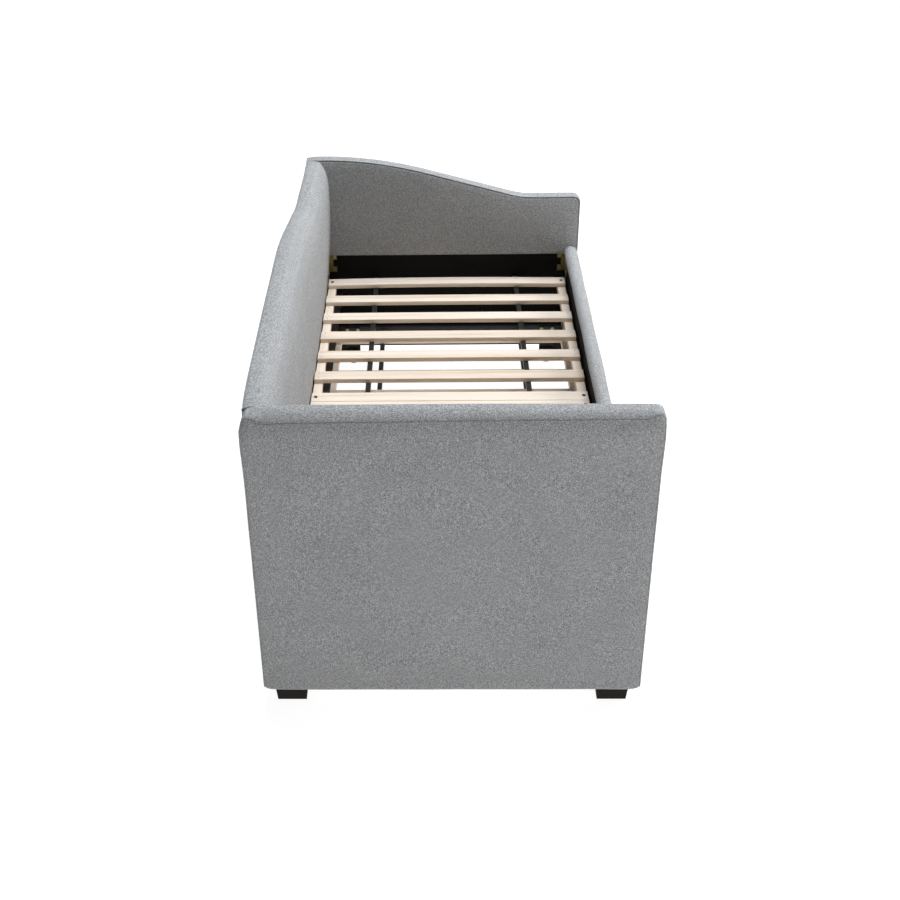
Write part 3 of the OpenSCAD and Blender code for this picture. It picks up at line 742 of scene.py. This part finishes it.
def back_shift(rings, low, high, near_x, pad_low):
    """How far the back's surface lies outside its plain section: soft waves, puckers by the head
    panel, rounded ends."""
    x, y, z = np.moveaxis(rings, 2, 0)
    flat = rings.reshape(-1, 3)
    waves = bumps(flat, 31, 10, 0.36, 0.9 * MM) + bumps(flat, 32, 12, 0.06, 0.15 * MM)
    pucker = 0.9 * MM * np.exp(-(x - low.x) / (45 * MM)) * np.sin(z * 2 * math.pi / (52 * MM))
    inner_side = (y < high.y - 55 * MM) & (z > pad_low + 20 * MM)
    outer_edge = ease_in((y - high.y + 85 * MM) / (40 * MM))
    far_end = ease_in(x / high.x)
    near = 5 * MM * end_inset(x, near_x, high.x + END_GAP, 5 * MM)
    far = (3 + 4 * np.maximum(outer_edge, far_end)) * MM
    far = far * end_inset(x, low.x - END_GAP, high.x - END_GAP, 8 * MM)
    return waves.reshape(x.shape) + np.where(inner_side, pucker, 0) - np.where(x < 0, near, far)


def back_panel():
    """The padded back: seam along the outer top edge, a big rounding into the crowned face."""
    low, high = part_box("back_cover")
    lining_low, lining_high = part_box("back_lining")
    top_of = smooth_profile("back_cover", 0, 1, high.y, 30 * MM)
    core_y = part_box("back_core")[1].y - 15 * MM
    pad_low = lining_high.z
    near_x = low.x + NEAR_GAP
    rings = []
    for x in graded(near_x, high.x - END_GAP, BACK_FINE, 22 * MM):
        along = (x - low.x) / (high.x - low.x)
        y_face = high.y + BACK_BOW * math.sin(math.pi * along**0.75) ** 1.1
        section = back_section(float(top_of(x)), y_face, high.y, low.z, pad_low, lining_low.y, core_y)
        rings.append(np.column_stack([np.full(len(section), x), section]))
    rings = np.array(rings)
    count = rings.shape[1]
    soft = np.zeros(count)
    soft[: count - 4] = 1.0
    shift = back_shift(rings, low, high, near_x, pad_low) * soft
    rings = rings + back_normals(rings) * shift[:, :, None]
    start, stop = OUTER_POINTS + len(BACK_SEAM) + 1, count - 3
    pad = rings[:, start:stop]
    held = np.zeros(pad.shape[:2], bool)
    held[:, :6] = held[:, -8:] = True
    rings[:, start:stop] += swell(pad, held, -PRESSURE, BACK_SWELL)
    outer = np.clip((rings[:, :, 1] - high.y + 75 * MM) / (75 * MM), 0, 1) ** 2
    near = np.exp(-(rings[:, :, 0] - near_x) / (40 * MM))
    upper = ease_in((rings[:, :, 2] - high.z + 80 * MM) / (60 * MM))
    rings[:, :, 2] -= 6 * MM * outer * near * upper
    upholstered("back_panel", rings.reshape(-1, 3), ring_faces(len(rings), count), "daybed", "back_cover")


# ---------------------------------------------------------------------------
# Upholstered front rail and trundle front
# ---------------------------------------------------------------------------

RAIL_FINE = MM * np.array([0, 0.8, 2, 3.5, 5.5, 8, 12, 18])
RAIL_POINTS = 110
RAIL_BULGE = 1.5 * MM
RAIL_BOW = (1 * MM, 5 * MM)
RAIL_INSET = (3.5 * MM, 5 * MM)


def rail_section(low, high, board_in, pad_low):
    """(y, z) round a padded rail: nearly flat outside, a round roll on top."""
    mid, r = (low.y + high.y) / 2, (high.y - low.y) / 2
    outer = [
        (low.y + 8 * MM, low.z), (low.y + 1.5 * MM, low.z + 5 * MM), (low.y, low.z + 20 * MM),
        (low.y - RAIL_BULGE, (low.z + high.z) / 2), (low.y, high.z - r - 12 * MM),
    ]
    arc = [(mid - r * math.cos(a), high.z - r + r * math.sin(a)) for a in np.linspace(0.25, 2.9, 9)]
    inner = [
        (high.y, high.z - r - 4 * MM), (high.y - 1 * MM, pad_low + 6 * MM), (high.y - 5 * MM, pad_low),
    ]
    inside = [(board_in - 0.5 * MM, pad_low), (board_in - 0.5 * MM, low.z)]
    return np.vstack([spline(outer + arc + inner, RAIL_POINTS), inside])


def padded_rail(name, cover, board, body, seed, pad_low, gap):
    """A padded rail over its board, bare below the roll on the inside, gap short at each end."""
    low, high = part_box(cover)
    mid, r = (low.y + high.y) / 2, (high.y - low.y) / 2
    section = rail_section(low, high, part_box(board)[1].y, pad_low)
    count = len(section)
    xs = graded(low.x + gap, high.x - gap, RAIL_FINE, 22 * MM)
    rings = np.array([np.column_stack([np.full(count, x), section]) for x in xs])
    along = (rings[:, :, 0] - low.x) / (high.x - low.x)
    outward = np.clip((mid - rings[:, :, 1]) / r, 0, 1)
    rings[:, :, 1] -= outward * (RAIL_BOW[0] + RAIL_BOW[1] * along)
    flat = rings.reshape(-1, 3)
    waves = bumps(flat, seed, 10, 0.3, 0.8 * MM) + bumps(flat, seed + 1, 12, 0.05, 0.15 * MM)
    tangent = np.roll(section, -1, axis=0) - np.roll(section, 1, axis=0)
    normal = np.column_stack([np.zeros(count), -tangent[:, 1], tangent[:, 0]])
    normal /= np.maximum(np.linalg.norm(normal, axis=1), TINY)[:, None]
    soft = np.ones(count)
    soft[:5] = soft[-3:] = 0
    inset = RAIL_INSET[0] * end_inset(rings[:, :, 0], low.x + gap, high.x - gap, RAIL_INSET[1])
    shift = (waves.reshape(len(xs), count) - inset) * soft
    rings = rings + normal * shift[:, :, None]
    pad = rings[:, :RAIL_POINTS]
    held = np.zeros(pad.shape[:2], bool)
    held[:, :8] = held[:, -8:] = True
    rings[:, :RAIL_POINTS] += swell(pad, held, PRESSURE, RAIL_SWELL)
    faces = [f[::-1] for f in ring_faces(len(xs), count)]
    upholstered(name, rings.reshape(-1, 3), faces, body, cover)


# ---------------------------------------------------------------------------
# Wooden slats
# ---------------------------------------------------------------------------

SLAT_RADIUS = 1.3 * MM
SLAT_FINE = (0, 0.5 * MM, 1.4 * MM, 3 * MM)
SLAT_END_EASE = (1.2 * MM, 1.5 * MM)
FAR_SLAT_BOW = 5 * MM
TRUNDLE_SLAT_BOW = 0.6 * MM


def slat_mesh(low, high, bow):
    """A planed slat along Y with eased edges, bowed upwards by bow at its middle."""
    half_x, half_z = (high[0] - low[0]) / 2, (high[2] - low[2]) / 2
    core_x, core_z = half_x - SLAT_RADIUS, half_z - SLAT_RADIUS
    section = []
    for k, (cx, cz) in enumerate(((1, 1), (-1, 1), (-1, -1), (1, -1))):
        for a in np.linspace(k * math.pi / 2, (k + 1) * math.pi / 2, 4):
            section.append((
                cx * core_x + SLAT_RADIUS * math.cos(a), cz * core_z + SLAT_RADIUS * math.sin(a),
            ))
    ys = graded(low[1], high[1], SLAT_FINE, 40 * MM)
    mid_x, mid_z = (high[0] + low[0]) / 2, (high[2] + low[2]) / 2
    rings = []
    for y in ys:
        ease = SLAT_END_EASE[0] * end_inset(y, low[1], high[1], SLAT_END_EASE[1])
        narrow, thin = 1 - ease / half_x, 1 - ease / half_z
        lift = bow * math.sin(math.pi * (y - low[1]) / (high[1] - low[1]))
        rings.append([(mid_x + sx * narrow, y, mid_z + sz * thin + lift) for sx, sz in section])
    return np.array(rings).reshape(-1, 3), ring_faces(len(ys), len(section))


def deck_slats():
    """The upper deck's slats, each on its own, with its own slight bow."""
    rng = np.random.default_rng(5)
    nodes = [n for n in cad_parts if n.startswith("slat_") and n[5:].isdigit()]
    for node in sorted(nodes, key=lambda n: int(n[5:])):
        low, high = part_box(node)
        bow = FAR_SLAT_BOW if node == "slat_1" else rng.uniform(0.0, 1.6) * MM
        points, faces = slat_mesh(low, high, bow)
        mesh_piece("deck_" + node, points, faces, "daybed", PINE_ACROSS, [node])


def trundle_slats():
    """The trundle's slats as one piece of separate boards."""
    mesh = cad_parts["trundle_slats"].data
    edges = sorted({round(v.co.x, 4) for v in mesh.vertices})
    low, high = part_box("trundle_slats")
    points, faces, start = [], [], 0
    for a, b in zip(edges[0::2], edges[1::2]):
        part, part_faces = slat_mesh((a, low.y, low.z), (b, high.y, high.z), TRUNDLE_SLAT_BOW)
        points.append(part)
        faces += [tuple(i + start for i in f) for f in part_faces]
        start += len(part)
    points = np.vstack(points)
    mesh_piece("trundle_deck_slats", points, faces, "trundle", PINE_ACROSS, ["trundle_slats"])


# ---------------------------------------------------------------------------
# CAD nodes that stay, with better materials and eased edges
# ---------------------------------------------------------------------------

CORNERS = ("head_back", "head_front", "foot_back", "foot_front")
WELD_DISTANCE = 0.01 * MM

# material, edge rounding in millimetres, nodes
KEPT = (
    (PLYWOOD, 0, ("head_core", "foot_core", "back_core", "front_board", "trundle_board")),
    (LINING, 0, ("head_lining", "foot_lining", "back_lining", "front_lining")),
    (STEEL, 0.8, ("back_ledge", "front_ledge", "trundle_ledges")),
    (STEEL, 1.5, ("deck_bars", "trundle_bars")),
    (STEEL, 0.7, ("caster_brackets",)),
    (ZINC, 0.6, tuple("bracket_" + c for c in CORNERS)),
    (ZINC_BOLT, 0.6, ("frame_bolts", "caster_axles")),
    (ZINC_BOLT, 0.4, ("trundle_screws",)),
    (SCREW_BLACK, 0.5, ("deck_bolts",)),
    (SCREW_BLACK, 0, ("slat_nails",)),
    (PINE_ALONG, 1.5, (*("deck_rail_" + c for c in CORNERS), "trundle_rails")),
    (LEG_WOOD, 2.5, tuple("leg_" + c for c in CORNERS)),
    (BLACK_WOOD, 1.5, ("trundle_end_head", "trundle_end_foot", "trundle_back_board")),
    (NYLON, 0, tuple("wheel_" + c for c in CORNERS)),
)


def ease_edges(node, width):
    """A narrow bevel on a CAD node's sharp edges."""
    weld = node.modifiers.new("weld", "WELD")
    weld.merge_threshold = WELD_DISTANCE
    bevel = node.modifiers.new("ease", "BEVEL")
    bevel.width = width
    bevel.segments = 2
    bevel.limit_method = "ANGLE"
    bevel.angle_limit = math.radians(40)
    bevel.harden_normals = True


def finish_cad_nodes():
    """Material and edge rounding of each CAD node that stays."""
    for material, ease, names in KEPT:
        for name in names:
            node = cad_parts[name]
            node.data.materials.clear()
            node.data.materials.append(material)
            if ease:
                ease_edges(node, ease * MM)


# ---------------------------------------------------------------------------
# Floor, light and camera
# ---------------------------------------------------------------------------

FLOOR_HALF = 150
CAMERA_PLACE = (-3.749, 0.0408, 2.6953)
CAMERA_TURN = 1.6387
CAMERA_DOWN = 30.197
CAMERA_ROLL = -1.2221


def floor():
    """A plain pale floor that glows a little, so that it stays white under soft light."""
    half = FLOOR_HALF
    mesh = bpy.data.meshes.new("floor")
    corners = [(-half, -half, 0), (half, -half, 0), (half, half, 0), (-half, half, 0)]
    mesh.from_pydata(corners, [], [(0, 1, 2, 3)])
    obj = bpy.data.objects.new("floor", mesh)
    bpy.context.scene.collection.objects.link(obj)
    s = Shader("pale_floor")
    obj.data.materials.append(s.surface(
        Base_Color=(0.3, 0.3, 0.3, 1), Roughness=0.9, Specular_IOR_Level=0.1,
        Emission_Color=(1, 1, 1, 1), Emission_Strength=0.93))


def area_light(name, place, target, size, watts, colour=(1, 1, 1)):
    """A softbox at a place, turned to its target."""
    light = bpy.data.lights.new(name, "AREA")
    light.shape = "RECTANGLE"
    light.size, light.size_y = size
    light.energy = watts
    light.color = colour
    obj = bpy.data.objects.new(name, light)
    bpy.context.scene.collection.objects.link(obj)
    obj.location = place
    way = np.array(target, float) - np.array(place, float)
    flat = math.hypot(way[0], way[1])
    obj.rotation_euler = (math.atan2(flat, -way[2]), 0, math.atan2(way[1], way[0]) - math.pi / 2)


def studio():
    """Faint white surroundings, a key from the open side, a cool overhead and a low fill."""
    world = bpy.data.worlds.new("studio")
    bpy.context.scene.world = world
    world.use_nodes = True
    background = world.node_tree.nodes["Background"]
    background.inputs["Color"].default_value = (1, 1, 1, 1)
    background.inputs["Strength"].default_value = 0.07
    area_light("key", (1.9, -4.0, 3.2), (0.2, 0.2, 0.6), (3.6, 2.6), 205)
    area_light("overhead", (0.8, -0.6, 6.0), (0, 0, 0), (3.0, 3.0), 390, (0.93, 0.97, 1.0))
    area_light("near_fill", (-4.3, -1.1, 0.9), (-1.0, 0, 0.7), (2.2, 0.5), 28)
    bpy.context.scene.view_settings.view_transform = "Standard"


def camera():
    """The main view: from the head end, 30 degrees down."""
    lens_camera = bpy.data.cameras.new("camera")
    lens_camera.sensor_width = 36
    lens_camera.lens = 51.49
    lens_camera.shift_x = 0.0521
    lens_camera.shift_y = -0.0898
    obj = bpy.data.objects.new("camera", lens_camera)
    bpy.context.scene.collection.objects.link(obj)
    obj.location = CAMERA_PLACE
    turn = Matrix.Rotation(math.radians(CAMERA_TURN - 90), 4, "Z")
    tilt = Matrix.Rotation(math.radians(90 - CAMERA_DOWN), 4, "X")
    roll = Matrix.Rotation(math.radians(CAMERA_ROLL), 4, "Z")
    obj.rotation_euler = (turn @ tilt @ roll).to_euler()
    bpy.context.scene.camera = obj


camera()
floor()
studio()
end_panel("head_panel", "head_cover", -1, 22 * MM, 12 * MM, 11, (15.8 * MM, 25 * MM), 1.2)
end_panel("foot_panel", "foot_cover", 1, 26 * MM, 4 * MM, 21, (4.5 * MM, 4.5 * MM), 1.0)
back_panel()
padded_rail("front_rail", "front_cover", "front_board", "daybed", 41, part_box("front_lining")[1].z, END_GAP)
padded_rail("trundle_front", "trundle_cover", "trundle_board", "trundle", 51,
            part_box("trundle_end_head")[1].z + 2 * MM, -1.5 * MM)
deck_slats()
trundle_slats()
finish_cad_nodes()
